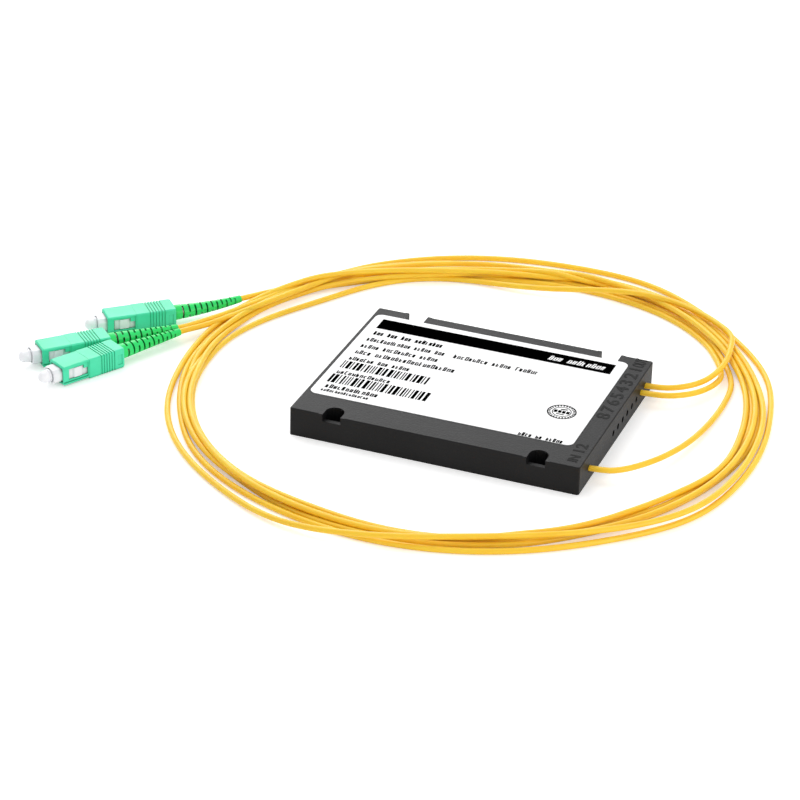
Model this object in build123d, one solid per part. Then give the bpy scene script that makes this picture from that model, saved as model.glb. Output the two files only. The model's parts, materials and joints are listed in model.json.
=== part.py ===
from build123d import *
import os
from math import cos, degrees, radians, sin, tan

# A planar-lightwave fibre splitter in a flat moulded box: one input cable and two output
# cables leave the right-hand side, lie round the box as one loose loop, and end in
# push-pull plugs with angled ferrules. Millimetres, +X to the cable side, +Y to the back,
# +Z up, with the origin under the middle of the box.

# Box
box_length = 100.0
box_width = 80.0
box_height = 10.0
wall = 1.8
roof = 1.6
plate_thickness = 1.5
rebate_depth = 0.8
corner_radius = 0.8
roof_edge = 0.3
assembly_gap = 0.15

# Fixing points: two screw pockets in front, two hook notches behind
fixing_x = 35.2
pocket_radius = 3.2
pocket_inset = 3.0
pocket_floor = 3.0
pocket_mouth_depth = 2.6
screw_inset = 4.0
screw_radius = 1.7
crush_rib_width = 0.6
crush_rib_reach = 0.3
crush_rib_angle = 27.0
post_wall = 1.4
notch_width = 6.9
notch_depth = 4.8

# Snap hooks of the bottom plate
snap_x = 12.0
snap_width = 8.0
snap_thickness = 1.0
snap_height = 3.6
snap_hook = 0.5
snap_hook_height = 1.2

# Ports in the right-hand wall
port_height = 4.4
output_port_count = 8
first_output_inset = 8.3
output_pitch = 5.08
input_inset = 10.5
cable_hole_radius = 1.1

# Label on the roof, by its distances from the edges of the box and of itself
label_left_margin = 1.5
label_right_margin = 6.9
label_front_margin = 12.5
label_back_margin = 5.1
label_thickness = 0.15
label_corner = 2.5
band_left_margin = 3.4
band_right_margin = 3.8
band_back_margin = 3.1
band_width = 7.2
print_thickness = 0.05

# Splitter module and the fibre inside the box
module_length = 40.0
module_side = 4.0
module_wall = 0.4
module_inset = 10.8
chip_length = 12.0
chip_width = 2.2
chip_height = 1.6
input_block_length = 5.0
output_block_length = 6.0
block_width = 2.6
module_boot_plug = 4.0
module_boot_nose = 3.0
module_boot_flange = 0.8
lead_radius = 0.45
lead_bend = 15.0
lead_wall_gap = 0.6
lead_pitch = 1.2
lead_bore_gap = 0.02
guide_gap = 2.0
guide_wall = 1.2
cradle_wall = 1.0
cradle_length = 10.0

# Cable and its crimped anchor behind the port
cable_radius = 1.0
anchor_inset = 5.0
anchor_length = 5.0
anchor_radius = 1.6
cable_overrun = 1.0
press = 0.02
saddle_wall = 1.0
saddle_gap = 0.05

# Plug, measured along its own axis from the front of the grip towards the cable
grip_length = 24.6
grip_front_width = 8.5
grip_front_height = 6.9
grip_rear_width = 8.8
grip_key_depth = 0.4
grip_key_width = 2.4
grip_step = 10.4
grip_edge = 0.55
grip_nose_edge = 0.35
grip_lip = 0.9
grip_rear_wall = 1.2
grip_cavity_width = 7.1
grip_cavity_height = 5.6
side_recess_depth = 0.25
side_recess_bottom = -2.2
side_recess_top = 2.9
rail_slit_top = -2.2
rail_slit_height = 0.35
rail_slit_depth = 0.5
window_start = 2.2
window_upper_end = 8.2
window_end = 9.9
window_bottom = -1.7
window_top = 2.2
window_step = 0.9
rib_start = 15.0
rib_count = 6
rib_pitch = 1.05
rib_groove = 0.45
rib_depth = 0.25
grip_travel = 1.5
slide_gap = 0.1
nose_reach = 3.2
frame_length = 20.0
frame_bore_radius = 2.45
frame_web_start = 5.0
frame_web = 1.5
nose_corner = 1.1
latch_height = 0.45
latch_ramp = 0.7
ferrule_radius = 1.25
ferrule_tip = -2.0
ferrule_seat = 8.0
ferrule_angle = 8.0
ferrule_fit = 0.05
holder_flange_radius = 2.2
holder_flange = 2.05
holder_tail_radius = 1.5
holder_tail_end = 13.0
fibre_bore_radius = 0.5
spring_wire_radius = 0.25
spring_radius = 1.95
spring_turns = 5
stop_start = 15.0
stop_flange_radius = 2.75
stop_flange = 1.2
neck_radius = 1.7
neck_end = 27.0
stop_bore_radius = 1.15
crimp_wall = 0.43
crimp_start = 21.5
crimp_end = 28.0
crimp_gap = 0.02
cap_radius = 2.1
cap_reach = 7.3
cap_skirt_end = 3.2
cap_flange_radius = 2.35
cap_flange = 0.6
cap_end_wall = 0.3

# Flexible boot behind the plug, with slots that get closer towards its thin end
boot_start = 22.0
boot_length = 28.7
boot_base_radius = 2.7
boot_end_radius = 1.3
boot_straight = 3.6
boot_bore_gap = 0.03
boot_sections = 9
slot_start = 27.8
slot_step = 2.35
slot_shrink = 0.965
slot_count = 11
slot_width = 0.65
slot_floor = 0.1
slot_web = 1.0

# Loop of cable that lies round the box
coil_height = 6.0
coil_outer = (99.2, 108.0)
coil_outer_centre = (-1.5, 9.5)
coil_inner = (91.0, 90.5)
coil_inner_centre = (-4.5, 4.0)
coil_edge = 1.2

# Where each plug lies: front of the grip on the floor, and the heading of its cable end
plug_places = {
    "output_1": (-137.6, 1.8, 41.3),
    "output_2": (-147.6, -28.8, 46.5),
    "input": (-135.7, -38.65, 60.6),
}

# How tightly each boot bends to the left, and None where it lies straight
boot_bends = {"output_1": 90.0, "output_2": None, "input": None}

# How far each boot is turned round its cable
boot_turns = {"output_1": 0.0, "output_2": -45.0, "input": 45.0}

# Route of each cable, first from the mouth of its port to the loop: how far it is from the
# wall and from the port's axis, and its height
exit_routes = {
    "output_1": [
        (4.5, 0.0, 4.4),
        (10.8, 3.3, 4.3),
        (16.2, 10.9, 4.1),
        (18.6, 21.9, 3.9),
        (17.8, 32.8, 3.9),
    ],
    "output_2": [
        (5.5, 0.0, 4.4),
        (12.2, 2.6, 3.8),
        (18.0, 9.8, 2.8),
        (20.8, 20.2, 1.9),
        (20.2, 31.4, 1.3),
    ],
    "input": [
        (6.5, 0.0, 4.4),
        (12.8, 6.1, 4.2),
        (19.4, 18.9, 3.9),
        (23.9, 34.7, 3.3),
        (26.2, 52.3, 2.6),
        (26.3, 70.1, 2.0),
        (23.8, 86.1, 1.6),
    ],
}

# Then from the end of its boot to the loop
tail_lead = 3.0
tail_routes = {
    "output_1": [(-94.6, 50.2, 3.0), (-88.6, 64.4, 1.9)],
    "output_2": [(-103.2, 24.2, 3.5), (-97.4, 36.4, 3.2)],
    "input": [(-101.6, 19.6, 3.2), (-96.2, 32.0, 2.6)],
}

# Sizes that follow
half_length = box_length / 2
half_width = box_width / 2
roof_under = box_height - roof
pocket_y = -half_width + pocket_inset
screw_y = -half_width + screw_inset
post_radius = pocket_radius + post_wall
notch_front = half_width - notch_depth
input_y = -half_width + input_inset
first_output_y = half_width - first_output_inset
port_y = {"output_1": first_output_y, "output_2": first_output_y - output_pitch, "input": input_y}
cable_names = list(plug_places)
anchor_start = half_length - anchor_inset - anchor_length
cable_start = anchor_start - cable_overrun
lead_turn_x = -half_length + wall + lead_wall_gap + lead_radius
module_y = half_width - module_inset
module_start = lead_turn_x + lead_bend + module_boot_nose + module_boot_flange
module_end = module_start + module_length
module_bottom = port_height - module_side / 2
module_inner = module_side - 2 * module_wall
chip_start = module_start + (module_length - chip_length) / 2
label_left = -half_length + label_left_margin
label_right = half_length - label_right_margin
label_front = -half_width + label_front_margin
label_back = half_width - label_back_margin
grip_front_bottom = -grip_front_height / 2
grip_bottom = grip_front_bottom - grip_key_depth
axis_height = -grip_bottom
frame_width = grip_cavity_width - 2 * slide_gap
frame_height = grip_cavity_height - 2 * slide_gap
frame_shoulder = grip_lip + grip_travel + slide_gap
nose_width = frame_width - 0.4
nose_height = frame_height - 0.4
collar_end = boot_start + boot_straight
boot_end = boot_start + boot_length


def block(x0, x1, y0, y1, z0, z1):
    """A box between two corners."""
    size = Box(x1 - x0, y1 - y0, z1 - z0)
    return Pos((x0 + x1) / 2, (y0 + y1) / 2, (z0 + z1) / 2) * size


def rod(radius, x0, x1, y=0.0, z=0.0):
    """A round bar along X."""
    return Pos((x0 + x1) / 2, y, z) * Rot(0, 90, 0) * Cylinder(radius, x1 - x0)


def turned(*outline):
    """A turned piece on the X axis, from the (x, radius) points of its half section."""
    section = make_face(Polyline(*outline, close=True))
    return revolve(section, Axis.X)


def tube_along(points, radius, label):
    """A round tube on straight runs joined by the largest tangent arcs that fit."""
    points = [Vector(*point) for point in points]
    runs = [b - a for a, b in zip(points, points[1:])]
    radii = []
    for before, after in zip(runs, runs[1:]):
        half_turn = radians(before.get_angle(after)) / 2
        radii.append(0.45 * min(before.length, after.length) / tan(half_turn))
    path = FilletPolyline(*points, radius=radii)
    tube = sweep(Plane(points[0], z_dir=runs[0]) * Circle(radius), path)
    print(label, "arc radii", [round(r, 1) for r in radii], "length", round(path.length, 1))
    section = Circle(radius).area
    print(label, "volume over section times length", round(tube.volume / (section * path.length), 4))
    return tube


def screw_post(grow):
    """The U-shaped post round a screw pocket, grown by a gap for the plate's cut-out."""
    reach = post_radius + grow
    foot = block(-reach, reach, -half_width, pocket_y, 0, box_height)
    post = foot + Pos(0, pocket_y, box_height / 2) * Cylinder(reach, box_height)
    return post & block(-reach, reach, -half_width, half_width, 0, box_height)


def screw_pocket():
    """The pocket for a screw's head: U-shaped, with a low front wall and two crush ribs."""
    depth = box_height - pocket_floor
    inner = -half_width + wall
    pocket = Pos(0, pocket_y, box_height - depth / 2) * Cylinder(pocket_radius, depth)
    pocket += block(-pocket_radius, pocket_radius, inner, pocket_y, pocket_floor, box_height)
    pocket &= block(-pocket_radius, pocket_radius, inner, half_width, pocket_floor, box_height)
    for angle in (90 - crush_rib_angle, 90 + crush_rib_angle):
        rib = block(
            pocket_radius - crush_rib_reach, pocket_radius + 1, -crush_rib_width / 2,
            crush_rib_width / 2, pocket_floor, box_height - roof_edge,
        )
        pocket -= Pos(0, pocket_y, 0) * Rot(0, 0, angle) * rib
    pocket += block(
        -pocket_radius, pocket_radius, -half_width, inner, box_height - pocket_mouth_depth, box_height
    )
    return pocket + Pos(0, screw_y, pocket_floor / 2) * Cylinder(screw_radius, pocket_floor)


def notch_block(grow):
    """The walls round a rear notch, grown by a gap for the plate's cut-out."""
    reach = notch_width / 2 + post_wall + grow
    return block(-reach, reach, notch_front - post_wall - grow, half_width, 0, box_height)


def anchor_saddle(y):
    """A block under the roof that a cable's crimped anchor snaps into."""
    bore = anchor_radius + saddle_gap
    low = port_height - anchor_radius / 2
    saddle = block(
        anchor_start, anchor_start + anchor_length, y - bore - saddle_wall, y + bore + saddle_wall,
        low, roof_under,
    )
    mouth = block(anchor_start, anchor_start + anchor_length, y - bore, y + bore, low, port_height)
    return saddle - rod(bore, anchor_start, anchor_start + anchor_length, y, port_height) - mouth


def module_cradle():
    """Two pads with side ribs that hold the splitter module under the roof."""
    reach = module_side / 2 + assembly_gap + cradle_wall
    cradle = []
    for middle in (module_start + cradle_length, module_end - cradle_length):
        x0, x1 = middle - cradle_length / 2, middle + cradle_length / 2
        rib = block(x0, x1, module_y - reach, module_y + reach, port_height, roof_under)
        bed = block(
            x0, x1, module_y - reach + cradle_wall, module_y + reach - cradle_wall,
            port_height, module_bottom + module_side,
        )
        cradle.append(rib - bed)
    return cradle


def fibre_guides():
    """The two round ribs under the roof that the input fibre turns round."""
    outer = lead_bend - lead_radius - guide_gap
    height = roof_under - plate_thickness - 2 * lead_radius
    ring = Cylinder(outer, height) - Cylinder(outer - guide_wall, height)
    middle_x = lead_turn_x + lead_bend
    return [
        Pos(middle_x, middle_y, roof_under - height / 2) * ring
        for middle_y in (input_y + lead_bend, module_y - lead_bend)
    ]


def snap_places():
    return [(x, side) for x in (-snap_x, snap_x) for side in (-1, 1)]


def housing():
    """The moulded shell: roof and four walls, open underneath."""
    shell = block(-half_length, half_length, -half_width, half_width, 0, box_height)
    shell = fillet(shell.edges().filter_by(Axis.Z), corner_radius)
    shell = chamfer(shell.faces().sort_by(Axis.Z)[-1].edges(), roof_edge)
    inner_x, inner_y = half_length - wall, half_width - wall
    shell -= block(-inner_x, inner_x, -inner_y, inner_y, 0, roof_under)
    rebate_x, rebate_y = inner_x + rebate_depth, inner_y + rebate_depth
    shell -= block(-rebate_x, rebate_x, -rebate_y, rebate_y, 0, plate_thickness)
    for x in (-fixing_x, fixing_x):
        shell += Pos(x, 0, 0) * screw_post(0)
        shell += Pos(x, 0, 0) * notch_block(0)
    shell += module_cradle()
    shell += fibre_guides()
    for y in port_y.values():
        shell += anchor_saddle(y)
    for x in (-fixing_x, fixing_x):
        shell -= Pos(x, 0, 0) * screw_pocket()
        shell -= block(
            x - notch_width / 2, x + notch_width / 2, notch_front, half_width, 0, box_height
        )
    for x, side in snap_places():
        pocket = block(
            x - snap_width / 2 - assembly_gap, x + snap_width / 2 + assembly_gap,
            inner_y - 1, inner_y + snap_hook + assembly_gap,
            plate_thickness + snap_height - snap_hook_height - assembly_gap,
            plate_thickness + snap_height + assembly_gap,
        )
        shell -= pocket if side > 0 else mirror(pocket, Plane.XZ)
    output_ys = [first_output_y - port * output_pitch for port in range(output_port_count)]
    for y in [input_y] + output_ys:
        shell -= rod(cable_hole_radius, half_length - wall, half_length, y, port_height)
    return shell


def base_plate():
    """The plate that closes the shell from below, with four snap hooks."""
    reach_x = half_length - wall + rebate_depth - assembly_gap
    reach_y = half_width - wall + rebate_depth - assembly_gap
    plate = block(-reach_x, reach_x, -reach_y, reach_y, 0, plate_thickness)
    for x in (-fixing_x, fixing_x):
        plate -= Pos(x, 0, 0) * screw_post(assembly_gap)
        plate -= Pos(x, 0, 0) * notch_block(assembly_gap)
    inner_y = half_width - wall - assembly_gap
    top = plate_thickness + snap_height
    for x, side in snap_places():
        outline = Polyline(
            (inner_y - snap_thickness, plate_thickness),
            (inner_y, plate_thickness),
            (inner_y, top - snap_hook_height),
            (inner_y + snap_hook, top - snap_hook_height),
            (inner_y + snap_hook, top - snap_hook_height * 0.6),
            (inner_y, top),
            (inner_y - snap_thickness, top),
            close=True,
        )
        hook = extrude(Plane.YZ * make_face(outline), snap_width / 2, both=True)
        plate += Pos(x, 0, 0) * (hook if side > 0 else mirror(hook, Plane.XZ))
    return plate


def label():
    width, depth = label_right - label_left, label_back - label_front
    sheet = extrude(RectangleRounded(width, depth, label_corner), label_thickness)
    return Pos((label_left + label_right) / 2, (label_front + label_back) / 2, box_height) * sheet


def label_band():
    low = box_height + label_thickness
    back = label_back - band_back_margin
    return block(
        label_left + band_left_margin, label_right - band_right_margin, back - band_width, back,
        low, low + print_thickness,
    )


def module_case():
    """The metal tube of the splitter module."""
    outer = module_side / 2
    inner = module_inner / 2
    y, z = module_y, port_height
    case = block(module_start, module_end, y - outer, y + outer, z - outer, z + outer)
    return case - block(module_start, module_end, y - inner, y + inner, z - inner, z + inner)


def module_stack(x0, x1, width, height):
    """A bonded glass or silica block in the middle of the module."""
    return block(
        x0, x1, module_y - width / 2, module_y + width / 2,
        port_height - height / 2, port_height + height / 2,
    )


def module_boot(lead_offsets, at_start):
    """A rubber plug in one end of the module, with a bore for each fibre lead."""
    inner = module_inner / 2 - lead_bore_gap
    flange = module_side / 2
    boot = block(0, module_boot_plug, -inner, inner, -inner, inner)
    boot += block(-module_boot_flange, 0, -flange, flange, -flange, flange)
    nose = Pos(-module_boot_flange - module_boot_nose / 2, 0, 0) * Rot(0, 90, 0)
    boot += nose * Cone(inner * 0.8, inner, module_boot_nose)
    reach = module_boot_flange + module_boot_nose
    for offset in lead_offsets:
        boot -= rod(lead_radius + lead_bore_gap, -reach, module_boot_plug, offset)
    if at_start:
        return Pos(module_start, module_y, port_height) * boot
    return Pos(module_end, module_y, port_height) * mirror(boot, Plane.YZ)


def lead_offset(name):
    return {"output_1": lead_pitch / 2, "output_2": -lead_pitch / 2, "input": 0.0}[name]


def fibre_lead(name):
    """The buffered fibre from a cable's anchor to its block in the module."""
    y = module_y + lead_offset(name)
    if name == "input":
        corners = [
            (cable_start, input_y), (lead_turn_x, input_y), (lead_turn_x, y),
            (chip_start - input_block_length, y),
        ]
        path = FilletPolyline(*[(*corner, port_height) for corner in corners], radius=lead_bend)
        return sweep(Plane((*corners[0], port_height), z_dir=(-1, 0, 0)) * Circle(lead_radius), path)
    start = chip_start + chip_length + output_block_length
    boot_end = module_end + module_boot_flange + module_boot_nose
    slope = (cable_start - boot_end) / 3
    points = [
        (start, y), (boot_end + slope, y), (boot_end + 2 * slope, port_y[name]),
        (cable_start, port_y[name]),
    ]
    return tube_along([(*point, port_height) for point in points], lead_radius, f"{name}_fibre_lead")


def cable_anchor(name):
    """The crimped sleeve that keeps a cable's jacket from being pulled out."""
    end = anchor_start + anchor_length
    sleeve = rod(anchor_radius, anchor_start, end, port_y[name], port_height)
    return sleeve - rod(cable_radius - press, anchor_start, end, port_y[name], port_height)


def rounded_bar(x0, x1, width, z0, z1, edge):
    """A bar along X with its four long edges rounded."""
    bar = block(x0, x1, -width / 2, width / 2, z0, z1)
    return fillet(bar.edges().filter_by(Axis.X), edge)


def grip():
    """The outer sliding grip: a square sleeve with latch windows, finger ribs and a key."""
    top = grip_front_height / 2
    half_front, half_rear = grip_front_width / 2, grip_rear_width / 2
    body = rounded_bar(0, grip_length, grip_front_width, grip_front_bottom, top, grip_edge)
    body = chamfer(body.faces().sort_by(Axis.X)[0].edges(), grip_nose_edge)
    rear = rounded_bar(grip_step, grip_length, grip_rear_width, grip_bottom, top + 0.05, grip_edge)
    rear = chamfer(rear.faces().sort_by(Axis.X)[-1].edges(), 0.4)
    body += rear
    body += block(
        0.6, grip_step, -grip_key_width / 2, grip_key_width / 2, grip_bottom, grip_front_bottom + 0.2
    )
    for side in (-1, 1):
        recess = block(
            0, window_end, half_front - side_recess_depth, half_front, side_recess_bottom,
            side_recess_top,
        )
        pocket = block(
            grip_length - 2.7, grip_length - 0.9, half_rear - 0.2, half_rear, -2.2, 1.6
        )
        window = block(window_start, window_upper_end, 2, half_rear, window_bottom, window_top)
        window += block(window_upper_end, window_end, 2, half_rear, window_bottom, window_step)
        slit = block(
            -1, window_end, half_front - rail_slit_depth, half_rear,
            rail_slit_top - rail_slit_height, rail_slit_top,
        )
        cuts = recess + pocket + window + slit
        body -= cuts if side > 0 else mirror(cuts, Plane.XZ)
    frame = block(
        0, rib_groove, -half_rear - 1, half_rear + 1, grip_bottom - 1, top + 1
    ) - rounded_bar(
        0, rib_groove, grip_rear_width - 2 * rib_depth, grip_bottom + rib_depth,
        top + 0.05 - rib_depth, grip_edge,
    )
    for rib in range(rib_count):
        body -= Pos(rib_start + rib * rib_pitch, 0, 0) * frame
    cavity_y, cavity_z = grip_cavity_width / 2, grip_cavity_height / 2
    body -= block(
        grip_lip, grip_length - grip_rear_wall, -cavity_y, cavity_y, -cavity_z, cavity_z
    )
    mouth_y, mouth_z = nose_width / 2 + slide_gap, nose_height / 2 + slide_gap
    body -= block(0, grip_lip, -mouth_y, mouth_y, -mouth_z, mouth_z)
    hole = boot_base_radius + 2 * slide_gap
    return body - rod(hole, grip_length - grip_rear_wall, grip_length)


def plug_frame():
    """The inner plug body, with its nose in front of the grip and a latch on each side."""
    nose = block(
        -nose_reach, frame_shoulder, -nose_width / 2, nose_width / 2, -nose_height / 2,
        nose_height / 2,
    )
    nose = chamfer(nose.edges().filter_by(Axis.X), nose_corner)
    nose = chamfer(nose.faces().sort_by(Axis.X)[0].edges(), 0.3)
    half = frame_width / 2
    body = nose + block(
        frame_shoulder, frame_length, -half, half, -frame_height / 2, frame_height / 2
    )
    latch_start = window_start + grip_travel + slide_gap
    latch_end = window_upper_end - slide_gap
    outline = Polyline(
        (latch_start, half - 0.2),
        (latch_start + latch_ramp, half + latch_height),
        (latch_end - latch_ramp, half + latch_height),
        (latch_end, half - 0.2),
        close=True,
    )
    height = window_top - window_bottom - 4 * slide_gap
    latch = Pos(0, 0, (window_top + window_bottom) / 2) * extrude(
        make_face(outline), height / 2, both=True
    )
    body += latch
    body += mirror(latch, Plane.XZ)
    body -= rod(frame_bore_radius, -nose_reach, frame_web_start)
    body -= rod(ferrule_radius + 2 * ferrule_fit, frame_web_start, frame_web_start + frame_web)
    return body - rod(frame_bore_radius, frame_web_start + frame_web, frame_length)


def ferrule():
    """The ceramic ferrule, with its end face ground at an angle."""
    bar = rod(ferrule_radius, ferrule_tip, ferrule_seat)
    bar = chamfer(bar.faces().sort_by(Axis.X)[0].edges(), 0.25)
    grind = Pos(ferrule_tip, 0, 0) * Rot(0, ferrule_angle, 0) * Box(1, 4, 4)
    return bar - Pos(-0.5 + ferrule_radius * tan(radians(ferrule_angle)), 0, 0) * grind


def ferrule_holder():
    """The metal flange pressed on the ferrule, which the spring pushes forward."""
    start = frame_web_start + frame_web + slide_gap / 2
    bore = ferrule_radius - press
    return turned(
        (start, bore), (start, holder_flange_radius), (start + holder_flange, holder_flange_radius),
        (start + holder_flange, holder_tail_radius), (holder_tail_end, holder_tail_radius),
        (holder_tail_end, fibre_bore_radius), (ferrule_seat, fibre_bore_radius), (ferrule_seat, bore),
    )


def spring():
    """The coil spring between the ferrule's flange and the stop ring."""
    start = frame_web_start + frame_web + slide_gap / 2 + holder_flange + spring_wire_radius
    length = stop_start - spring_wire_radius - start
    line = Helix(length / spring_turns, length, spring_radius, center=(start, 0, 0), direction=(1, 0, 0))
    wire = Plane(line @ 0, z_dir=line % 0) * Circle(spring_wire_radius)
    return sweep(wire, line, is_frenet=True)


def stop_ring():
    """The rear body that closes the plug frame and carries the crimp."""
    flange_end = frame_length + stop_flange
    barrel = frame_bore_radius - slide_gap / 2
    return turned(
        (stop_start, stop_bore_radius), (stop_start, barrel), (frame_length, barrel),
        (frame_length, stop_flange_radius), (flange_end, stop_flange_radius),
        (flange_end, neck_radius), (neck_end, neck_radius), (neck_end, stop_bore_radius),
    )


def crimp_sleeve():
    """The metal sleeve that grips the cable's strength yarn on the stop ring's neck."""
    inner = neck_radius + crimp_gap
    sleeve = rod(inner + crimp_wall, crimp_start, crimp_end)
    return sleeve - rod(inner, crimp_start, crimp_end)


def boot_radius(along):
    """The boot's outer radius at a place along the plug."""
    share = max(0.0, along - collar_end) / (boot_end - collar_end)
    return boot_base_radius + (boot_end_radius - boot_base_radius) * share


def boot_place(along, bend):
    """Where a place along the boot lies, if the boot bends from the end of its collar on."""
    if bend is None or along <= collar_end:
        return Pos(along, 0, 0)
    turn = (along - collar_end) / bend
    shift = Pos(collar_end + bend * sin(turn), bend * (1 - cos(turn)), 0)
    return shift * Rot(0, 0, degrees(turn))


def bent_bar(bend, start, radius_at):
    """A round bar along the boot's axis, from a start to the boot's end."""
    step = (boot_end - collar_end) / boot_sections
    bends = [collar_end + step * section for section in range(boot_sections + 1)]
    stations = [start] + [station for station in bends if station > start]
    return loft(
        [boot_place(x, bend) * Rot(0, 90, 0) * Circle(radius_at(x)) for x in stations], ruled=True
    )


def boot(bend, turn):
    """The tapered bend-limiting boot, with slots in turn across and along its height."""
    wide = neck_radius + crimp_gap + crimp_wall + boot_bore_gap
    narrow = cable_radius + boot_bore_gap
    body = bent_bar(bend, boot_start, boot_radius)
    body -= bent_bar(bend, boot_start, lambda along: narrow)
    body -= rod(wide, boot_start, crimp_end + slide_gap)
    floor = narrow + slot_floor
    ring = rod(boot_base_radius + 1, -slot_width / 2, slot_width / 2)
    ring -= rod(floor, -slot_width / 2, slot_width / 2)
    reach = boot_base_radius + 1
    ring -= block(-slot_width / 2, slot_width / 2, -slot_web / 2, slot_web / 2, -reach, reach)
    along = slot_start
    step = slot_step
    for slot in range(slot_count):
        body -= boot_place(along, bend) * Rot(turn + 90 * (slot % 2), 0, 0) * ring
        along += step
        step *= slot_shrink
    return body


def dust_cap():
    """The round-nosed cap pushed over the ferrule."""
    bore = ferrule_radius + ferrule_fit
    inner_end = ferrule_tip - cap_end_wall
    flange = -nose_reach - 0.15
    body = rod(cap_radius, -cap_reach + cap_radius, cap_skirt_end)
    body += Pos(-cap_reach + cap_radius, 0, 0) * Sphere(cap_radius)
    body += rod(cap_flange_radius, flange - cap_flange, flange)
    return body - rod(bore, inner_end, cap_skirt_end)


def cable_exit(name):
    """The cable from its anchor, through the wall, to the loop."""
    y = port_y[name]
    points = [(cable_start, y, port_height)]
    points += [(half_length + out, y + along, height) for out, along, height in exit_routes[name]]
    return tube_along(points, cable_radius, f"{name}_cable_exit") - cable_coil()


def plug_place(name):
    x, y, heading = plug_places[name]
    return Pos(x, y, axis_height) * Rot(0, 0, heading)


def cable_tail(name):
    """The cable from the plug's crimp, through the boot, to the loop."""
    bend = boot_bends[name]
    core = bent_bar(bend, crimp_end, lambda along: cable_radius)
    mouth = plug_place(name) * boot_place(boot_end, bend)
    lead = mouth * Pos(tail_lead, 0, 0)
    points = [tuple(mouth.position), tuple(lead.position)] + tail_routes[name]
    tube = tube_along(points, cable_radius, f"{name}_cable_tail")
    return plug_place(name) * core + tube - cable_coil()


def cable_coil():
    """The outer shape of the loop of cable round the box."""
    outer = Pos(*coil_outer_centre) * Ellipse(*coil_outer)
    inner = Pos(*coil_inner_centre) * Ellipse(*coil_inner)
    ring = extrude(outer - inner, coil_height)
    return chamfer(ring.faces().sort_by(Axis.Z)[-1].edges(), coil_edge)


def plug_pieces(name):
    """The pieces of one plug, placed where it lies."""
    pieces = {
        "dust_cap": dust_cap(),
        "grip": grip(),
        "plug_frame": plug_frame(),
        "ferrule": ferrule(),
        "ferrule_holder": ferrule_holder(),
        "spring": spring(),
        "stop_ring": stop_ring(),
        "crimp_sleeve": crimp_sleeve(),
        "boot": boot(boot_bends[name], boot_turns[name]),
    }
    return {f"{name}_{piece}": plug_place(name) * shape for piece, shape in pieces.items()}


def build():
    chip_end = chip_start + chip_length
    nodes = {
        "housing": housing(),
        "base_plate": base_plate(),
        "label": label(),
        "label_band": label_band(),
        "module_case": module_case(),
        "splitter_chip": module_stack(chip_start, chip_end, chip_width, chip_height),
        "input_fibre_block": module_stack(
            chip_start - input_block_length, chip_start, block_width, module_inner
        ),
        "output_fibre_block": module_stack(
            chip_end, chip_end + output_block_length, block_width, module_inner
        ),
        "input_module_boot": module_boot([0.0], at_start=True),
        "output_module_boot": module_boot([-lead_pitch / 2, lead_pitch / 2], at_start=False),
        "cable_coil": cable_coil(),
    }
    for name in cable_names:
        nodes[f"{name}_cable_anchor"] = cable_anchor(name)
        nodes[f"{name}_fibre_lead"] = fibre_lead(name)
        nodes[f"{name}_cable_exit"] = cable_exit(name)
        nodes[f"{name}_cable_tail"] = cable_tail(name)
        nodes.update(plug_pieces(name))
    return nodes


os.makedirs("parts", exist_ok=True)
for node_name, shape in build().items():
    export_step(shape, f"parts/{node_name}.step")
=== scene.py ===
import json
from itertools import combinations
from math import cos, hypot, pi, radians, sin

import bpy
import numpy as np
from mathutils import Matrix, Vector


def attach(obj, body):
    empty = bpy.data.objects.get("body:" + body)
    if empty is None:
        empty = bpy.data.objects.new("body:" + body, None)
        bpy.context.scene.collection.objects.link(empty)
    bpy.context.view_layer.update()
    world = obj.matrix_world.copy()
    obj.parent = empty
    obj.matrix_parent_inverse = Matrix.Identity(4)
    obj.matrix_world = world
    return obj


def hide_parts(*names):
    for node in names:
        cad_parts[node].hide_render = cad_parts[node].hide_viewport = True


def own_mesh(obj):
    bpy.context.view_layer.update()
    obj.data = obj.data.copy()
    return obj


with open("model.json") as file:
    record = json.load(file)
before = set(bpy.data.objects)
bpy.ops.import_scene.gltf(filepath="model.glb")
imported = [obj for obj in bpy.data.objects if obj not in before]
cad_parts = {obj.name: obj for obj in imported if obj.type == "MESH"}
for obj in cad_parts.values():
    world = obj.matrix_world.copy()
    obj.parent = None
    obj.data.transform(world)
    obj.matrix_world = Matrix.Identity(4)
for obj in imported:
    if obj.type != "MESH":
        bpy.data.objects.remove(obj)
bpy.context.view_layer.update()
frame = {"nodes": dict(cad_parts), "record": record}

# Sizes and places below are in millimetres, which this turns to metres
mm = 0.001

# Camera: its place, its turns in radians, and its lens on a picture 36 mm wide
camera_place = Vector((285.12, -836.79, 479.80)) * mm
camera_yaw = -0.356374
camera_pitch = 0.494676
camera_roll = 0.028589
camera_lens = 135.191
picture_width = 36
camera_reach = 20

# Box and label, as in the part's source, and the bevel on the edges of the print
roof = 10.0
label_top = 10.15
print_height = 0.05
print_edge = 0.015

# Marks beside the ports: text, letter size, how far its width is stretched, and place along the
# wall. The ports' numbers stand at the ports' own pitch
port_names = ["8", "7", "6", "5", "4", "3", "2", "1"]
last_port_y = -3.86
port_pitch = 5.08
port_marks = [(name, 6.2, 1.25, last_port_y + port_pitch * count) for count, name in enumerate(port_names)]
port_marks += [
    ("IN", 4.6, 1.0, -34.6), ("1", 5.4, 1.2, -29.4), ("2", 5.4, 1.2, -26.0), ("OUT", 5.6, 0.5, 36.8),
]

# How far right every mark stands, how high its middle is above the roof, how far it reaches up
# and down from there, and how much bolder its letters are drawn
mark_x = 46.4
mark_rise = 0.02
mark_reach = 0.05
mark_boldness = 0.13

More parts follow.
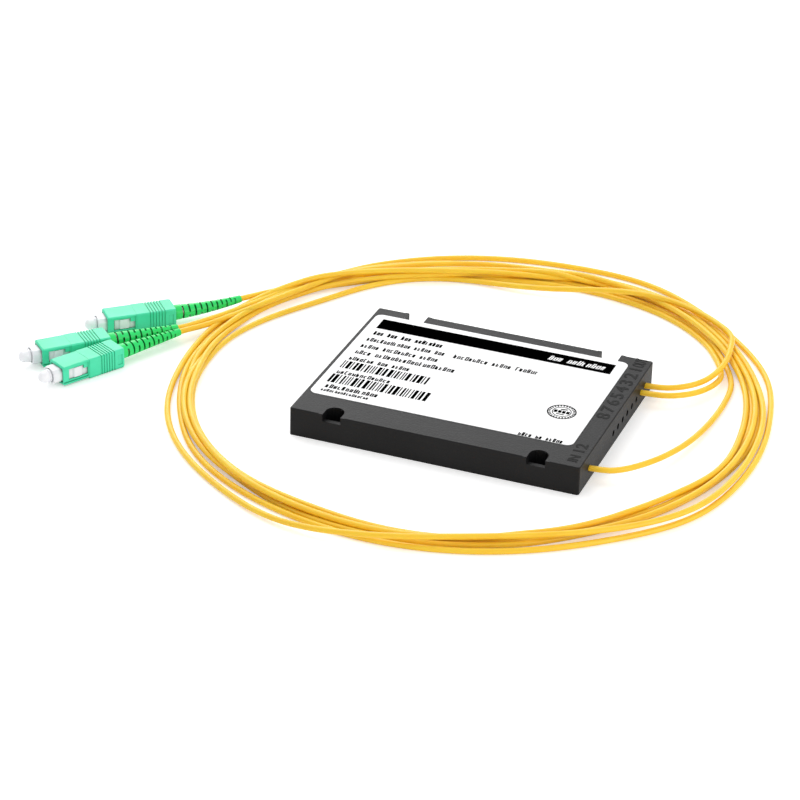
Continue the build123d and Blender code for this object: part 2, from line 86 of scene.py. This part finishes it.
# Print: left end, foot, letter height, space for a letter, stroke width and letters of each word
print_lines = [
    (-44.4, 19.6, 2.8, 1.27, 0.5, (3, 3, 3, 8)),
    (-44.8, 14.4, 2.7, 1.24, 0.42, (13, 5, 3)),
    (-13.2, 14.3, 2.7, 1.39, 0.44, (9, 5, 6)),
    (-44.9, 9.2, 2.7, 1.34, 0.44, (5, 9, 5)),
    (-44.9, 4.2, 2.8, 1.44, 0.46, (4, 20)),
    (-45.1, -0.9, 2.6, 1.29, 0.43, (7, 3, 5)),
    (-45.2, -11.6, 2.4, 1.38, 0.44, (14,)),
    (-44.9, -22.4, 2.6, 1.45, 0.48, (13,)),
    (-45.3, -25.1, 1.8, 1.00, 0.34, (17,)),
    (24.6, -27.4, 2.3, 1.18, 0.42, (4, 2, 5)),
]
title_line = (16.6, 26.4, 3.2, 1.68, 0.52, (3, 8))
title_lean = 0.2

# Rhythm of the stand-in letters: how tall a low one is, how much of its space each fills, how
# long a short second stem is, and how high up its bars lie
low_letter = 0.78
letter_widths = (0.8, 0.66, 0.84, 0.74)
short_stem = 0.72
letter_bars = ((0.0, 1.0), (1.0,), (0.5, 0.0), (1.0, 0.0), (0.0,))

# Bar codes: left end, right end, front and back of each, and where it starts in the rhythm
bar_codes = [(-45.7, -14.7, -7.4, -2.0, 0), (-45.8, -11.2, -18.4, -12.3, 4)]
bar_widths = (0.4, 0.4, 1.1, 0.4, 0.9, 1.2, 0.4, 0.7, 0.4)
bar_gaps = (0.45, 0.55, 0.4, 0.7, 0.4, 0.5, 0.8)

# Stamp: two rings, by their radius and width, ticks between them, and blocks in the middle, by
# their place from the middle, their size and their turn
stamp_centre = (32.9, -7.0)
stamp_radius = 4.9
stamp_rings = [(stamp_radius, 0.38), (0.66 * stamp_radius, 0.26)]
tick_radius = 0.84 * stamp_radius
tick_count = 26
tick_lengths = (0.95, 0.7, 0.7)
tick_width = 0.5
stamp_middle = [(-2.1, 0.0, 1.1, 1.7, 0.0), (-0.7, 0.0, 1.1, 1.7, 0.0), (0.7, 0.0, 1.1, 1.7, 0.0)]
stamp_middle += [(2.1, 0.0, 1.1, 1.7, 0.0), (0.3, 1.7, 2.2, 0.6, 0.2), (-0.1, -1.7, 2.6, 0.5, 0.0)]

# Cable and plugs, as in the part's source: where the front of each grip is and which way the
# plug goes from there in degrees, the radius that a boot is bent to, and places along the plug
cable_radius = 1.0
plug_places = {
    "output_1": (-137.6, 1.8, 41.3),
    "output_2": (-147.6, -28.8, 46.5),
    "input": (-135.7, -38.65, 60.6),
}
boot_bends = {"output_1": 90.0, "output_2": None, "input": None}
plug_height = 3.85
collar_end = 25.6
crimp_end = 28.0
boot_end = 50.7

# Points of a cable inside its boot, from the boot's thin end
inside_boot = (0.0, 7.0, 14.0, boot_end - crimp_end)

# Routes of the cables between the box and the loop, and between the plugs and the loop
exit_routes = {
    "output_1": [
        (39.0, 31.7, 4.4), (53.2, 31.7, 4.6), (61.0, 34.3, 4.9), (67.0, 41.2, 4.8),
        (69.9, 50.6, 4.8), (70.5, 60.8, 5.0), (69.2, 69.8, 5.3),
    ],
    "output_2": [
        (39.0, 26.62, 4.4), (53.4, 26.62, 4.5), (61.2, 28.8, 4.5), (67.6, 36.0, 3.7),
        (70.8, 46.8, 2.4), (70.4, 57.0, 1.3),
    ],
    "input": [
        (39.0, -29.5, 4.4), (53.4, -29.5, 4.5), (59.6, -27.0, 4.6), (65.0, -19.6, 4.1),
        (69.8, -9.4, 3.2), (73.9, 5.2, 2.0), (76.2, 22.8, 1.2), (76.6, 40.6, 1.0), (74.6, 54.6, 1.0),
    ],
}
tail_routes = {
    "output_1": [(-100.6, 39.9, 3.7), (-96.6, 47.0, 3.0), (-91.9, 56.6, 1.7)],
    "output_2": [(-110.6, 9.9, 3.9), (-105.8, 18.4, 3.7), (-101.3, 27.6, 3.3)],
    "input": [(-109.4, 8.0, 3.8), (-105.2, 14.6, 3.4), (-101.4, 22.4, 3.1)],
}

# Loop: how far each strand lies from the middle of the loop at every 15 degrees, starting
# at 45 degrees and going round two and a third times, as seen against a plane 2 mm up
loop_middle = (-1.0, 10.0)
loop_start = 45
loop_step = 15
seen_plane = 2.0
strand_radii = {
    "output_1": [
        99.5, 101.0, 95.2, 83.8, 82.4, 88.8, 88.4, 85.6, 89.9, 94.7, 96.6, 98.2,
        99.0, 98.4, 96.2, 97.4, 97.6, 95.0, 93.2, 92.8, 91.6, 90.8, 90.8, 91.6,
        93.2, 95.2, 96.2, 96.6, 94.4, 94.2, 96.2, 99.2, 100.0, 100.2, 100.4, 101.6,
        104.8, 105.0, 104.8, 105.3, 104.7, 103.4, 102.5, 104.4, 100.6, 98.1, 97.0, 99.5,
        99.4, 101.6, 106.4, 104.5, 104.6, 104.0, 102.6,
    ],
    "output_2": [
        88.2, 90.2, 89.2, 88.2, 87.0, 89.5, 91.6, 96.2, 97.6, 96.8, 98.0, 99.9,
        100.4, 100.2, 99.8, 99.8, 99.0, 96.8, 94.6, 94.0, 92.6, 92.2, 92.0, 92.4,
        94.8, 97.2, 98.8, 94.6, 92.4, 92.6, 98.0, 102.2, 102.6, 102.2, 103.2, 106.6,
        108.2, 108.6, 110.2, 102.5, 95.2, 93.8, 96.8, 99.8, 97.2, 95.2, 94.8, 94.0,
        95.4, 99.8, 100.2, 98.3, 98.4, 100.4, 101.0, 101.0,
    ],
    "input": [
        90.2, 92.2, 91.8, 91.2, 89.8, 91.0, 94.2, 97.6, 98.8, 98.6, 99.2, 100.2,
        101.0, 101.0, 102.2, 102.4, 101.2, 98.4, 96.8, 94.9, 94.2, 93.8, 93.2, 93.2,
        94.4, 97.4, 94.4, 93.0, 90.0, 90.2, 92.6, 96.8, 98.2, 96.6, 97.6, 98.8,
        98.9, 98.6, 98.0, 98.6, 96.4, 93.4, 90.7, 88.6, 91.0, 89.2, 89.4, 90.8,
        92.2, 95.0, 98.4, 97.4, 99.0, 99.4, 99.6, 100.0,
    ],
}

# Where a strand lies on others: its height at some angles, and on the ground elsewhere
strand_heights = {
    "output_1": {
        45: 5.4, 60: 5.4, 75: 5.2, 90: 3.2, 105: 1.5, 120: 1.0, 405: 1.0, 435: 2.8, 480: 2.8, 510: 1.0,
    },
    "output_2": {
        185: 1.0, 205: 2.8, 245: 2.8, 265: 1.0, 320: 1.0, 332: 2.9, 345: 1.0, 365: 1.0, 385: 2.8,
        400: 2.8, 420: 1.0, 450: 1.0, 465: 3.0, 480: 4.6, 510: 4.6, 540: 1.2, 600: 1.0, 615: 1.2,
        625: 4.4, 645: 4.8, 660: 3.4, 675: 4.4, 690: 4.0, 715: 1.6, 735: 2.8, 755: 2.8, 780: 1.4,
        840: 1.0, 870: 3.0,
    },
    "input": {
        540: 1.2, 560: 2.8, 605: 2.8, 625: 1.6, 690: 1.6, 705: 3.0, 718: 1.0, 750: 1.2, 765: 4.4,
        795: 4.6, 820: 1.6, 840: 2.0, 870: 3.0,
    },
}

# Settling of the strands: step along them in degrees, room between two, number of rounds, and
# how much of the way each round takes a strand back to its place, its height and a smooth line
settle_step = 3
strand_room = 0.06
settle_rounds = 260
pull_home = 0.12
pull_height = 0.05
pull_smooth = 0.25

# Strands whose middles are nearer than this lie one on the other, and then count as being this
# far apart sideways, upwards and in all
stacked_gap = 0.3
stacked_aside = 0.2
stacked_above = 0.8
stacked_apart = 0.82

# A cable follows every second place of its settled strand
route_stride = 2

# Finishes: depth of the grain, drift of the roughness, and where a patch's two tones begin
grain_depth = 0.1
polish_drift = 0.06
patch_edges = (0.35, 0.65)

# Studio, in metres and watts: the place, side and power of each lamp, the ground and the sky
lamps = {
    "key": ((-0.7, 0.5, 1.5), 1.2, 9),
    "sheen": ((-0.8, 1.3, 0.8), 1.0, 8),
    "side": ((1.4, -0.45, 0.45), 0.9, 7),
}
floor_side = 8
floor_glow = 0.32
sky_strength = 0.66


def colour(code):
    """A linear colour from an sRGB hex code."""
    linear = []
    for start in (1, 3, 5):
        part = int(code[start:start + 2], 16) / 255
        linear.append(part / 12.92 if part <= 0.04045 else ((part + 0.055) / 1.055) ** 2.4)
    return (*linear, 1.0)


def pick(*objects):
    """Selects these objects alone, with the last one active."""
    bpy.ops.object.select_all(action="DESELECT")
    for item in objects:
        item.select_set(True)
        bpy.context.view_layer.objects.active = item


# Camera

def set_camera():
    """The camera, at the photograph's viewing angle."""
    forward = Vector((
        sin(camera_yaw) * cos(camera_pitch), cos(camera_yaw) * cos(camera_pitch), -sin(camera_pitch),
    ))
    level = Vector((cos(camera_yaw), -sin(camera_yaw), 0))
    upward = level.cross(forward)
    right = cos(camera_roll) * level + sin(camera_roll) * upward
    up = cos(camera_roll) * upward - sin(camera_roll) * level
    data = bpy.data.cameras.new("camera")
    data.lens = camera_lens
    data.sensor_width = picture_width
    data.clip_end = camera_reach
    camera = bpy.data.objects.new("camera", data)
    turn = Matrix((right, up, -forward)).transposed().to_4x4()
    camera.matrix_world = Matrix.Translation(camera_place) @ turn
    bpy.context.scene.collection.objects.link(camera)
    bpy.context.scene.camera = camera


# Cables

def sight_slope(angle):
    """How far outwards a strand seems to move for each millimetre that it is raised."""
    away = Vector((sin(camera_yaw), cos(camera_yaw))) * cos(camera_pitch) / sin(camera_pitch)
    return away.x * np.cos(angle) + away.y * np.sin(angle)


def start_strands():
    """Each strand of the loop by its angles, where it is seen, and its wished radius and height."""
    strands = []
    for name, radii in strand_radii.items():
        known = loop_start + loop_step * np.arange(len(radii))
        angles = np.arange(known[0], known[-1] + 1, settle_step)
        heights = strand_heights[name]
        wish = np.interp(angles, list(heights), list(heights.values()))
        strand = {"name": name, "angles": angles, "wish": wish, "height": wish.copy()}
        strand["seen"] = smooth_between(known, radii, angles)
        strand["slope"] = sight_slope(np.radians(angles))
        strand["radius"] = home_radius(strand)
        strands.append(strand)
    return strands


def home_radius(strand):
    """How far out a strand has to lie at its present height to be seen where it should be."""
    return strand["seen"] - (strand["height"] - seen_plane) * strand["slope"]


def settle_strands():
    """Lets the strands of the loop push each other apart until none passes through another."""
    strands = start_strands()
    sections = {}
    for number, strand in enumerate(strands):
        for index, angle in enumerate(strand["angles"]):
            sections.setdefault(angle % 360, []).append((number, index))
    for settle_round in range(settle_rounds):
        for strand in strands:
            strand["radius"] += pull_home * (home_radius(strand) - strand["radius"])
            strand["height"] += pull_height * (strand["wish"] - strand["height"])
            for key in ("radius", "height"):
                line = strand[key]
                line[1:-1] += pull_smooth * (line[:-2] + line[2:] - 2 * line[1:-1])
        for members in sections.values():
            for (one, here), (other, there) in combinations(members, 2):
                part_strands(strands[one], here, strands[other], there)
        for strand in strands:
            np.maximum(strand["height"], cable_radius, out=strand["height"])
    return strands


def smooth_between(known, values, angles):
    """A smooth line through values known at even steps (Catmull-Rom)."""
    values = np.asarray(values, float)
    padded = np.concatenate([[2 * values[0] - values[1]], values, [2 * values[-1] - values[-2]]])
    place = (angles - known[0]) / (known[1] - known[0])
    low = np.minimum(place.astype(int), len(values) - 2)
    share = place - low
    before, here, there, after = padded[low], padded[low + 1], padded[low + 2], padded[low + 3]
    lead = there - before
    bow = 2 * before - 5 * here + 4 * there - after
    twist = 3 * here - before - 3 * there + after
    return 0.5 * (2 * here + lead * share + bow * share**2 + twist * share**3)


def part_strands(first, here, second, there):
    """Moves two strands apart in one section of the loop if they overlap."""
    apart = 2 * cable_radius + strand_room
    aside = second["radius"][there] - first["radius"][here]
    above = second["height"][there] - first["height"][here]
    gap = hypot(aside, above)
    if gap >= apart:
        return
    if gap < stacked_gap:
        aside, above, gap = stacked_aside, stacked_above, stacked_apart
        if second["wish"][there] < first["wish"][here]:
            above = -above
    push = 0.5 * (apart - gap) / gap
    first["radius"][here] -= push * aside
    second["radius"][there] += push * aside
    first["height"][here] -= push * above
    second["height"][there] += push * above


def plug_point(name, along):
    """A point on a plug's axis and its boot's, measured from the front of its grip."""
    x, y, heading = plug_places[name]
    bend = boot_bends[name]
    ahead, aside = along, 0.0
    if bend and along > collar_end:
        turn = (along - collar_end) / bend
        ahead, aside = collar_end + bend * sin(turn), bend * (1 - cos(turn))
    cosine, sine = cos(radians(heading)), sin(radians(heading))
    return (x + ahead * cosine - aside * sine, y + ahead * sine + aside * cosine, plug_height)


def make_cable(strand):
    """One cable from its anchor in the box, round the loop, to its plug."""
    name = strand["name"]
    points = list(exit_routes[name])
    angles = np.radians(strand["angles"])
    for angle, radius, height in list(zip(angles, strand["radius"], strand["height"]))[::route_stride]:
        points.append((loop_middle[0] + radius * cos(angle), loop_middle[1] + radius * sin(angle), height))
    points += list(reversed(tail_routes[name]))
    points += [plug_point(name, boot_end - inside) for inside in inside_boot]
    curve = bpy.data.curves.new(f"{name}_cable", "CURVE")
    curve.dimensions = "3D"
    spline = curve.splines.new("NURBS")
    spline.points.add(len(points) - 1)
    for point, place in zip(spline.points, points):
        point.co = (place[0] * mm, place[1] * mm, place[2] * mm, 1)
    spline.order_u = 3
    spline.use_endpoint_u = True
    spline.resolution_u = 4
    curve.bevel_depth = cable_radius * mm
    curve.bevel_resolution = 4
    curve.use_fill_caps = True
    cable = bpy.data.objects.new(f"{name}_cable", curve)
    bpy.context.scene.collection.objects.link(cable)
    cable.data.materials.append(materials["cable_jacket"])
    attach(cable, "box")
    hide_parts(f"{name}_cable_exit", f"{name}_cable_tail")
    if name == "input":
        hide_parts("cable_coil")


# Materials

def add_node(tree, kind, settings=None, **values):
    """Adds a shader node, with settings on the node and values on its sockets."""
    node = tree.nodes.new(kind)
    for setting, value in (settings or {}).items():
        setattr(node, setting, value)
    for socket, value in values.items():
        node.inputs[socket.replace("_", " ")].default_value = value
    return node


def surface(name, dark, light, patch, roughness, grain, relief, **shader_values):
    """A finish whose tone drifts in soft patches, with a fine grain in its surface. The patches
    and the grains are given by their width in millimetres."""
    material = bpy.data.materials.new(name)
    material.use_nodes = True
    tree = material.node_tree
    shader = tree.nodes["Principled BSDF"]
    for socket, value in shader_values.items():
        shader.inputs[socket.replace("_", " ")].default_value = value
    place = add_node(tree, "ShaderNodeTexCoord")
    patches = add_node(tree, "ShaderNodeTexNoise", Scale=1 / (patch * mm), Detail=3.0)
    tree.links.new(place.outputs["Object"], patches.inputs["Vector"])
    tones = add_node(tree, "ShaderNodeValToRGB")
    for stop, edge, tone in zip(tones.color_ramp.elements, patch_edges, (dark, light)):
        stop.position = edge
        stop.color = colour(tone)
    tree.links.new(patches.outputs["Fac"], tones.inputs["Fac"])
    tree.links.new(tones.outputs["Color"], shader.inputs["Base Color"])
    grains = add_node(tree, "ShaderNodeTexNoise", Scale=1 / (grain * mm), Detail=4.0)
    tree.links.new(place.outputs["Object"], grains.inputs["Vector"])
    smoother, rougher = roughness - polish_drift, roughness + polish_drift
    polish = add_node(tree, "ShaderNodeMapRange", To_Min=smoother, To_Max=rougher)
    tree.links.new(grains.outputs["Fac"], polish.inputs["Value"])
    tree.links.new(polish.outputs["Result"], shader.inputs["Roughness"])
    bump = add_node(tree, "ShaderNodeBump", Strength=relief, Distance=grain_depth * mm)
    tree.links.new(grains.outputs["Fac"], bump.inputs["Height"])
    tree.links.new(bump.outputs["Normal"], shader.inputs["Normal"])
    return material


def paint_hollow_shade(material, depth, shade_tone, closed=0.0):
    """Paints shade into a finish's colour where it lies deep in a slot or inside another piece, and
    paints it wholly in the shade tone where less than the closed share of its sky is open."""
    tree = material.node_tree
    shader = tree.nodes["Principled BSDF"]
    plain = shader.inputs["Base Color"].links[0].from_socket
    open_sky = add_node(tree, "ShaderNodeAmbientOcclusion", {"samples": 8}, Distance=depth * mm)
    share = add_node(tree, "ShaderNodeMapRange", From_Min=closed)
    tree.links.new(open_sky.outputs["AO"], share.inputs["Value"])
    mixed = add_node(tree, "ShaderNodeMix", {"data_type": "RGBA"})
    tree.links.new(share.outputs["Result"], mixed.inputs["Factor"])
    mixed.inputs["A"].default_value = colour(shade_tone)
    tree.links.new(plain, mixed.inputs["B"])
    tree.links.new(mixed.outputs["Result"], shader.inputs["Base Color"])
    return material


def make_materials():
    """Every finish on the object, by the name of its slot in the record."""
    # Grains on mouldings are really under 0.1 mm wide, and all that are given here are drawn
    # five to ten times as coarse, because a finer grain wouldn't show
    return {
        # Black ABS from a spark-eroded mould: a dull black with a fine sandy grain
        "box_plastic": surface(
            "spark_eroded_black_abs", "#0d0d0e", "#131314", patch=25, roughness=0.48, grain=0.6,
            relief=0.8, Specular_IOR_Level=0.19,
        ),
        # Coated paper: an even, bright white with hardly any tooth
        "label_paper": surface(
            "coated_label_paper", "#fafafb", "#fdfdfd", patch=17, roughness=0.45, grain=0.33, relief=0.05,
        ),
        # Thermal transfer ink: a dense black without gloss
        "label_ink": surface(
            "thermal_transfer_ink", "#010101", "#020202", patch=12, roughness=0.6, grain=0.4,
            relief=0.05, Specular_IOR_Level=0.0,
        ),
        # Extruded soft PVC: a warm yellow that glows a little where it is thin, with a satin shine
        "cable_jacket": surface(
            "extruded_yellow_jacket", "#fcca28", "#fed232", patch=11, roughness=0.42, grain=0.55,
            relief=0.1, Subsurface_Weight=0.25, Subsurface_Radius=(1.0, 0.6, 0.15),
            Subsurface_Scale=0.0012,
        ),
        # Tight polyamide buffer on the fibre: a smooth off-white
        "fibre_buffer": surface(
            "tight_white_buffer", "#e6e8ea", "#f2f3f4", patch=17, roughness=0.4, grain=0.55, relief=0.05,
        ),
        # Moulded PBT: a satin mint green, with painted shade in its grooves and slits
        "grip_plastic": paint_hollow_shade(
            surface(
                "moulded_mint_grip", "#3ee0ab", "#4ae7b6", patch=14, roughness=0.4, grain=0.65,
                relief=0.05,
            ),
            1.2, "#22ab7c",
        ),
        # Soft thermoplastic rubber: a brighter green, with painted shade that is nearly black deep in the
        # slots
        "boot_rubber": paint_hollow_shade(
            surface(
                "soft_green_boot", "#12de66", "#1ee474", patch=14, roughness=0.4, grain=0.6,
                relief=0.08,
            ),
            1.2, "#022f12",
        ),
        # Moulded PBT: a plain white with soft shade inside the grip
        "frame_plastic": paint_hollow_shade(
            surface(
                "moulded_white_frame", "#eceef2", "#f6f7fa", patch=14, roughness=0.35, grain=0.65,
                relief=0.06,
            ),
            1.4, "#46685a",
        ),
        # Moulded soft polyethylene: milky, with light that spreads inside it
        "cap_plastic": surface(
            "milky_soft_cap", "#f3f4fa", "#fafafd", patch=11, roughness=0.3, grain=0.65, relief=0.03,
            Subsurface_Weight=0.35, Subsurface_Radius=(0.002, 0.002, 0.002), Subsurface_Scale=1.0,
        ),
        # Polished zirconia: a hard, glossy warm white
        "ceramic": surface(
            "polished_zirconia", "#eeeee8", "#f6f6f2", patch=11, roughness=0.15, grain=0.65, relief=0.02,
        ),
        # Nickel-plated brass: a pale bright metal, with painted shade that is dark where it lies deep in a
        # bore or slot
        "brass": paint_hollow_shade(
            surface(
                "nickel_plated_brass", "#cfc9b4", "#dad5c4", patch=11, roughness=0.28, grain=0.65,
                relief=0.05, Metallic=1.0,
            ),
            6.0, "#020302", closed=0.5,
        ),
        # Drawn stainless steel: a grey metal with a soft shine
        "steel": surface(
            "drawn_stainless_steel", "#b4b6b8", "#c4c6c8", patch=11, roughness=0.3, grain=0.65,
            relief=0.08, Metallic=1.0,
        ),
        # Polished fused silica: glossy and nearly white
        "silica": surface(
            "polished_silica", "#dfe8ee", "#eef4f8", patch=11, roughness=0.1, grain=0.65, relief=0.01,
        ),
        # Moulded black rubber: a deep dull black
        "seal_rubber": surface(
            "moulded_black_seal", "#020202", "#040404", patch=17, roughness=0.5, grain=0.65,
            relief=0.2, Specular_IOR_Level=0.1,
        ),
    }


def dress_nodes():
    """Puts each CAD node's finish on it."""
    for part in frame["record"]["subparts"]:
        node = frame["nodes"][part["node"]]
        for slot in node.material_slots:
            slot.material = materials[part["material_slot"]]


def press_springs():
    """Gives each plug's spring a mesh of its own."""
    for name, (x, y, heading) in plug_places.items():
        spring = frame["nodes"][f"{name}_spring"]
        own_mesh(spring)


# Print on the label and marks on the box

def finish_piece(piece, name, material):
    """Names a piece, gives it its finish and lets it ride on the box."""
    pick(piece)
    bpy.ops.object.transform_apply(location=True, rotation=True, scale=True)
    piece.name = name
    piece.data.name = name
    piece.data.materials.clear()
    piece.data.materials.append(materials[material])
    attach(piece, "box")


def raise_blocks(name, material, blocks):
    """One piece made of flat blocks, each given by its middle, its size, its foot and its turn.
    The first block is an object of its own, and the others are added to its mesh."""
    bpy.ops.object.select_all(action="DESELECT")
    for number, (x, y, wide, deep, foot, turn) in enumerate(blocks):
        bpy.ops.mesh.primitive_cube_add(
            size=1, location=(x * mm, y * mm, (foot + print_height / 2) * mm), rotation=(0, 0, turn),
            scale=(wide * mm, deep * mm, print_height * mm),
        )
        if number == 0:
            piece = bpy.context.active_object
            bpy.ops.object.transform_apply(location=True, rotation=True, scale=True)
            bpy.ops.object.mode_set(mode="EDIT")
    bpy.ops.mesh.select_all(action="SELECT")
    bpy.ops.mesh.bevel(offset=print_edge * mm, segments=1)
    bpy.ops.object.mode_set(mode="OBJECT")
    finish_piece(piece, name, material)


def greeked_line(line, foot, lean=0.0):
    """The blocks of one printed line: stems and bars that stand for its letters. The remainders
    only vary the shape from one letter to the next."""
    left, base, height, pitch, stroke, words = line
    blocks = []
    place = 0
    for letters in words:
        for letter in range(letters):
            x = left + pitch * place
            tall = height * (1.0 if (letter * 5 + letters) % 3 == 0 else low_letter)
            wide = pitch * letter_widths[(letter * 3 + letters) % len(letter_widths)]
            shift = lean * tall / 2
            blocks.append((x + stroke / 2 + shift, base + tall / 2, stroke, tall, foot, -lean))
            if (letter + letters) % 5 != 1:
                short = tall * (short_stem if letter % 5 == 0 else 1.0)
                blocks.append((x + wide - stroke / 2 + shift, base + short / 2, stroke, short, foot, -lean))
            for rise in letter_bars[(letter * 2 + letters) % len(letter_bars)]:
                y = base + stroke / 2 + rise * (tall - stroke)
                blocks.append((x + wide / 2 + lean * (y - base), y, wide - stroke, stroke, foot, 0.0))
            place += 1
        place += 1
    return blocks


def print_label():
    """Plain strokes and stripes where a label carries its print."""
    strokes = [block for line in print_lines for block in greeked_line(line, label_top)]
    raise_blocks("label_lines", "label_ink", strokes)
    stripes = []
    for x, right, front, back, count in bar_codes:
        while x < right:
            width = bar_widths[count % len(bar_widths)]
            stripes.append((x + width / 2, (front + back) / 2, width, back - front, label_top, 0.0))
            x += width + bar_gaps[count % len(bar_gaps)]
            count += 1
    raise_blocks("label_stripes", "label_ink", stripes)
    title = greeked_line(title_line, label_top + print_height, lean=title_lean)
    raise_blocks("band_title", "label_paper", title)


def printed_ring(radius, width):
    """A thin ring printed round the middle of the stamp."""
    bpy.ops.object.select_all(action="DESELECT")
    bpy.ops.mesh.primitive_circle_add(
        vertices=64, radius=radius * mm, fill_type="NGON",
        location=(stamp_centre[0] * mm, stamp_centre[1] * mm, label_top * mm),
    )
    ring = bpy.context.active_object
    bpy.ops.object.mode_set(mode="EDIT")
    bpy.ops.mesh.select_all(action="SELECT")
    bpy.ops.mesh.inset(thickness=width * mm)
    bpy.ops.mesh.delete(type="FACE")
    bpy.ops.mesh.select_all(action="SELECT")
    bpy.ops.mesh.extrude_region_move(TRANSFORM_OT_translate={"value": (0, 0, print_height * mm)})
    bpy.ops.mesh.select_all(action="SELECT")
    bpy.ops.mesh.normals_make_consistent(inside=False)
    bpy.ops.object.mode_set(mode="OBJECT")
    return ring


def stamp():
    """Two printed rings with ticks between them and plain blocks in the middle."""
    pick(*[printed_ring(radius, width) for radius, width in stamp_rings])
    bpy.ops.object.join()
    finish_piece(bpy.context.active_object, "stamp_rings", "label_ink")
    x, y = stamp_centre
    blocks = []
    for tick in range(tick_count):
        turn = 2 * pi * tick / tick_count
        place = (x + tick_radius * cos(turn), y + tick_radius * sin(turn))
        blocks.append((*place, tick_lengths[tick % len(tick_lengths)], tick_width, label_top, turn))
    for aside, above, wide, deep, turn in stamp_middle:
        blocks.append((x + aside, y + above, wide, deep, label_top, turn))
    raise_blocks("stamp_blocks", "label_ink", blocks)


def raise_port_marks():
    """The numbers and plain words beside the ports, a little proud of the roof."""
    pieces = []
    for text, size, spread, y in port_marks:
        bpy.ops.object.select_all(action="DESELECT")
        bpy.ops.object.text_add(rotation=(0, 0, pi / 2))
        mark = bpy.context.active_object
        mark.data.body = text
        mark.data.size = size * mm
        mark.data.align_x = "CENTER"
        mark.data.align_y = "CENTER"
        mark.data.extrude = mark_reach * mm
        mark.data.offset = mark_boldness * mm
        bpy.ops.object.convert(target="MESH")
        mark = bpy.context.active_object
        mark.location = (mark_x * mm, y * mm, (roof + mark_rise) * mm)
        mark.scale.x = spread
        pieces.append(mark)
    pick(*pieces)
    bpy.ops.object.join()
    # The black rubber finish on the marks is painted shade: it stands in for the shade along the edges of
    # the moulded digits
    finish_piece(bpy.context.active_object, "port_marks", "seal_rubber")


# Ground and light

def seen_straight(tree):
    """1 for rays that the camera sends straight, off gloss or through glass, and 0 for others."""
    path = add_node(tree, "ShaderNodeLightPath")
    gloss = add_node(tree, "ShaderNodeMath", {"operation": "MAXIMUM"})
    tree.links.new(path.outputs["Is Camera Ray"], gloss.inputs[0])
    tree.links.new(path.outputs["Is Glossy Ray"], gloss.inputs[1])
    clear = add_node(tree, "ShaderNodeMath", {"operation": "MAXIMUM"})
    tree.links.new(gloss.outputs["Value"], clear.inputs[0])
    tree.links.new(path.outputs["Is Transmission Ray"], clear.inputs[1])
    return clear.outputs["Value"]


def ground():
    """The white ground, which glows where the camera sees or mirrors it, to match the sky."""
    bpy.ops.object.select_all(action="DESELECT")
    bpy.ops.mesh.primitive_plane_add(size=floor_side, location=(0, 0, 0))
    floor = bpy.context.active_object
    floor.name = "ground"
    material = bpy.data.materials.new("white_sweep")
    material.use_nodes = True
    tree = material.node_tree
    shader = tree.nodes["Principled BSDF"]
    shader.inputs["Base Color"].default_value = colour("#fcfcfc")
    shader.inputs["Roughness"].default_value = 0.9
    shader.inputs["Specular IOR Level"].default_value = 0.1
    shader.inputs["Emission Color"].default_value = colour("#ffffff")
    glow = add_node(tree, "ShaderNodeMapRange", To_Max=floor_glow)
    tree.links.new(seen_straight(tree), glow.inputs["Value"])
    tree.links.new(glow.outputs["Result"], shader.inputs["Emission Strength"])
    floor.data.materials.append(material)


def soft_box(name, place, side, power):
    """A square lamp that faces the middle of the object."""
    data = bpy.data.lights.new(name, "AREA")
    data.shape = "SQUARE"
    data.size = side
    data.energy = power
    lamp = bpy.data.objects.new(name, data)
    lamp.location = place
    lamp.rotation_euler = (Vector((0, 0, 0)) - Vector(place)).to_track_quat("-Z", "Y").to_euler()
    bpy.context.scene.collection.objects.link(lamp)


def light():
    """An even white sky, brightest where the camera sees it, and three soft lamps."""
    world = bpy.data.worlds.new("plain_studio")
    bpy.context.scene.world = world
    world.use_nodes = True
    tree = world.node_tree
    background = tree.nodes["Background"]
    background.inputs["Color"].default_value = colour("#ffffff")
    strength = add_node(tree, "ShaderNodeMapRange", To_Min=sky_strength, To_Max=1.0)
    tree.links.new(seen_straight(tree), strength.inputs["Value"])
    tree.links.new(strength.outputs["Result"], background.inputs["Strength"])
    for name, (place, side, power) in lamps.items():
        soft_box(name, place, side, power)


materials = make_materials()
set_camera()
for settled in settle_strands():
    make_cable(settled)
dress_nodes()
press_springs()
print_label()
stamp()
raise_port_marks()
ground()
light()
bpy.context.scene.view_settings.view_transform = "Standard"
